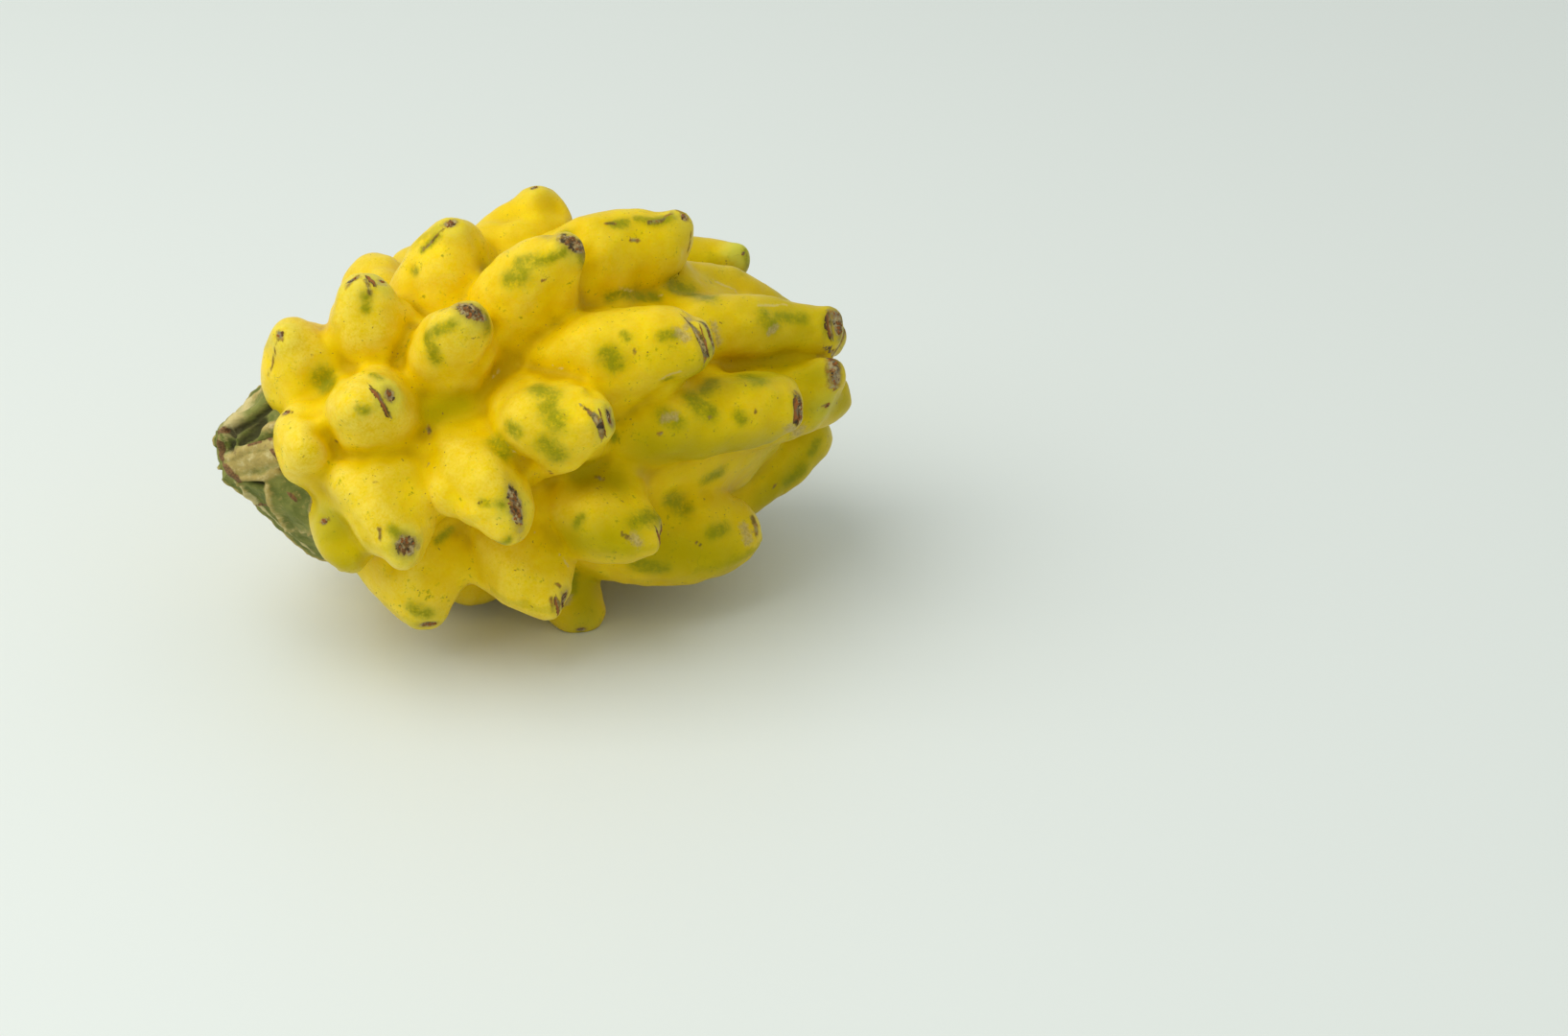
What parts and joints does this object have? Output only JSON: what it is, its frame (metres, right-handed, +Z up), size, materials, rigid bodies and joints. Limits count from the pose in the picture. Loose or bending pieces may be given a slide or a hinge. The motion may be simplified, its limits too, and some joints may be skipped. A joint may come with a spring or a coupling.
{
  "type": "dragon fruit",
  "caption": "Whole yellow dragon fruit lying on its side: an egg-shaped body covered in blunt tubercles that lengthen to fingers round the blossom end, with a dried stem piece.",
  "frame": {"origin": "on the surface that the fruit rests on, under the middle of its bounding box", "axes": "+X along the fruit's axis from the stem end to the blossom end, +Z up, -Y towards the viewer"},
  "size_m": [0.0952, 0.0674, 0.0607],
  "materials": {
    "skin": "waxy, softly glossy yellow",
    "stem": "dried, matte green and tan"
  },
  "bodies": {
    "root": {"fruit": "skin", "stem_piece": "stem"}
  },
  "joints": []
}
